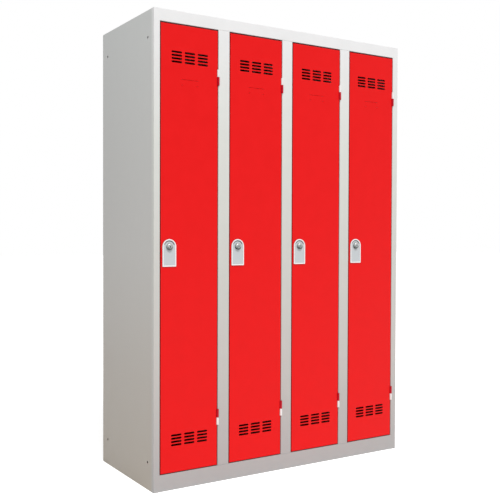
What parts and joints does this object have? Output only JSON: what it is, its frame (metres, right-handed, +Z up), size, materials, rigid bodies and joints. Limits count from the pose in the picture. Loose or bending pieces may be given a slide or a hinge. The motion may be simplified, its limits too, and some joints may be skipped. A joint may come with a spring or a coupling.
{
  "type": "clothes locker",
  "caption": "Free-standing sheet-steel clothes locker: a row of tall hinged doors with key locks, each closing a column with a hat shelf and a hanging rail.",
  "frame": {"origin": "middle of the footprint of the whole object, on the floor", "axes": "+Z up, the doors face -Y, +X to the right of someone who faces the doors"},
  "size_m": [1.2, 0.512, 1.8],
  "materials": {
    "grey_paint": "light grey powder coat on sheet steel, satin, fine orange peel",
    "red_paint": "bright red powder coat on sheet steel, satin, fine orange peel",
    "zinc_steel": "bright zinc-plated steel",
    "lock_plate_casting": "pale grey satin lacquer on a zinc die casting",
    "nickel_lock": "bright nickel-plated lock barrel and plug"
  },
  "bodies": {
    "carcass": {"left_side_panel": "grey_paint", "right_side_panel": "grey_paint", "back_panel": "grey_paint", "top_panel": "grey_paint", "bottom_panel": "grey_paint", "partition_1": "grey_paint", "partition_2": "grey_paint", "partition_3": "grey_paint", "front_post_1": "grey_paint", "front_post_2": "grey_paint", "front_post_3": "grey_paint", "hat_shelf_1": "grey_paint", "hat_shelf_2": "grey_paint", "hat_shelf_3": "grey_paint", "hat_shelf_4": "grey_paint", "hanging_rail_1": "zinc_steel", "hanging_rail_2": "zinc_steel", "hanging_rail_3": "zinc_steel", "hanging_rail_4": "zinc_steel", "frame_hinge_upper_1": "grey_paint", "frame_hinge_upper_2": "grey_paint", "frame_hinge_upper_3": "grey_paint", "frame_hinge_upper_4": "grey_paint", "frame_hinge_lower_1": "grey_paint", "frame_hinge_lower_2": "grey_paint", "frame_hinge_lower_3": "grey_paint", "frame_hinge_lower_4": "grey_paint"},
    "door_1": {"door_panel_1": "red_paint", "door_stiffener_1": "red_paint", "door_knuckle_upper_1": "red_paint", "door_knuckle_lower_1": "red_paint", "lock_plate_1": "lock_plate_casting", "lock_housing_1": "nickel_lock"},
    "lock_1": {"lock_plug_1": "nickel_lock", "lock_cam_1": "zinc_steel"},
    "door_2": {"door_panel_2": "red_paint", "door_stiffener_2": "red_paint", "door_knuckle_upper_2": "red_paint", "door_knuckle_lower_2": "red_paint", "lock_plate_2": "lock_plate_casting", "lock_housing_2": "nickel_lock"},
    "lock_2": {"lock_plug_2": "nickel_lock", "lock_cam_2": "zinc_steel"},
    "door_3": {"door_panel_3": "red_paint", "door_stiffener_3": "red_paint", "door_knuckle_upper_3": "red_paint", "door_knuckle_lower_3": "red_paint", "lock_plate_3": "lock_plate_casting", "lock_housing_3": "nickel_lock"},
    "lock_3": {"lock_plug_3": "nickel_lock", "lock_cam_3": "zinc_steel"},
    "door_4": {"door_panel_4": "red_paint", "door_stiffener_4": "red_paint", "door_knuckle_upper_4": "red_paint", "door_knuckle_lower_4": "red_paint", "lock_plate_4": "lock_plate_casting", "lock_housing_4": "nickel_lock"},
    "lock_4": {"lock_plug_4": "nickel_lock", "lock_cam_4": "zinc_steel"}
  },
  "joints": [
    {"name": "door_1_hinge", "type": "hinge", "parent": "carcass", "child": "door_1", "pos_m": [-0.327, -0.245, 0.9], "axis": [0, 0, 1], "range_deg": [0, 110]},
    {"name": "door_2_hinge", "type": "hinge", "parent": "carcass", "child": "door_2", "pos_m": [-0.028, -0.245, 0.9], "axis": [0, 0, 1], "range_deg": [0, 110]},
    {"name": "door_3_hinge", "type": "hinge", "parent": "carcass", "child": "door_3", "pos_m": [0.271, -0.245, 0.9], "axis": [0, 0, 1], "range_deg": [0, 110]},
    {"name": "door_4_hinge", "type": "hinge", "parent": "carcass", "child": "door_4", "pos_m": [0.57, -0.245, 0.9], "axis": [0, 0, 1], "range_deg": [0, 110]},
    {"name": "lock_1_turn", "type": "hinge", "parent": "door_1", "child": "lock_1", "pos_m": [-0.537, -0.244, 0.918], "axis": [0, 1, 0], "range_deg": [0, 90]},
    {"name": "lock_2_turn", "type": "hinge", "parent": "door_2", "child": "lock_2", "pos_m": [-0.238, -0.244, 0.918], "axis": [0, 1, 0], "range_deg": [0, 90]},
    {"name": "lock_3_turn", "type": "hinge", "parent": "door_3", "child": "lock_3", "pos_m": [0.061, -0.244, 0.918], "axis": [0, 1, 0], "range_deg": [0, 90]},
    {"name": "lock_4_turn", "type": "hinge", "parent": "door_4", "child": "lock_4", "pos_m": [0.36, -0.244, 0.918], "axis": [0, 1, 0], "range_deg": [0, 90]}
  ]
}
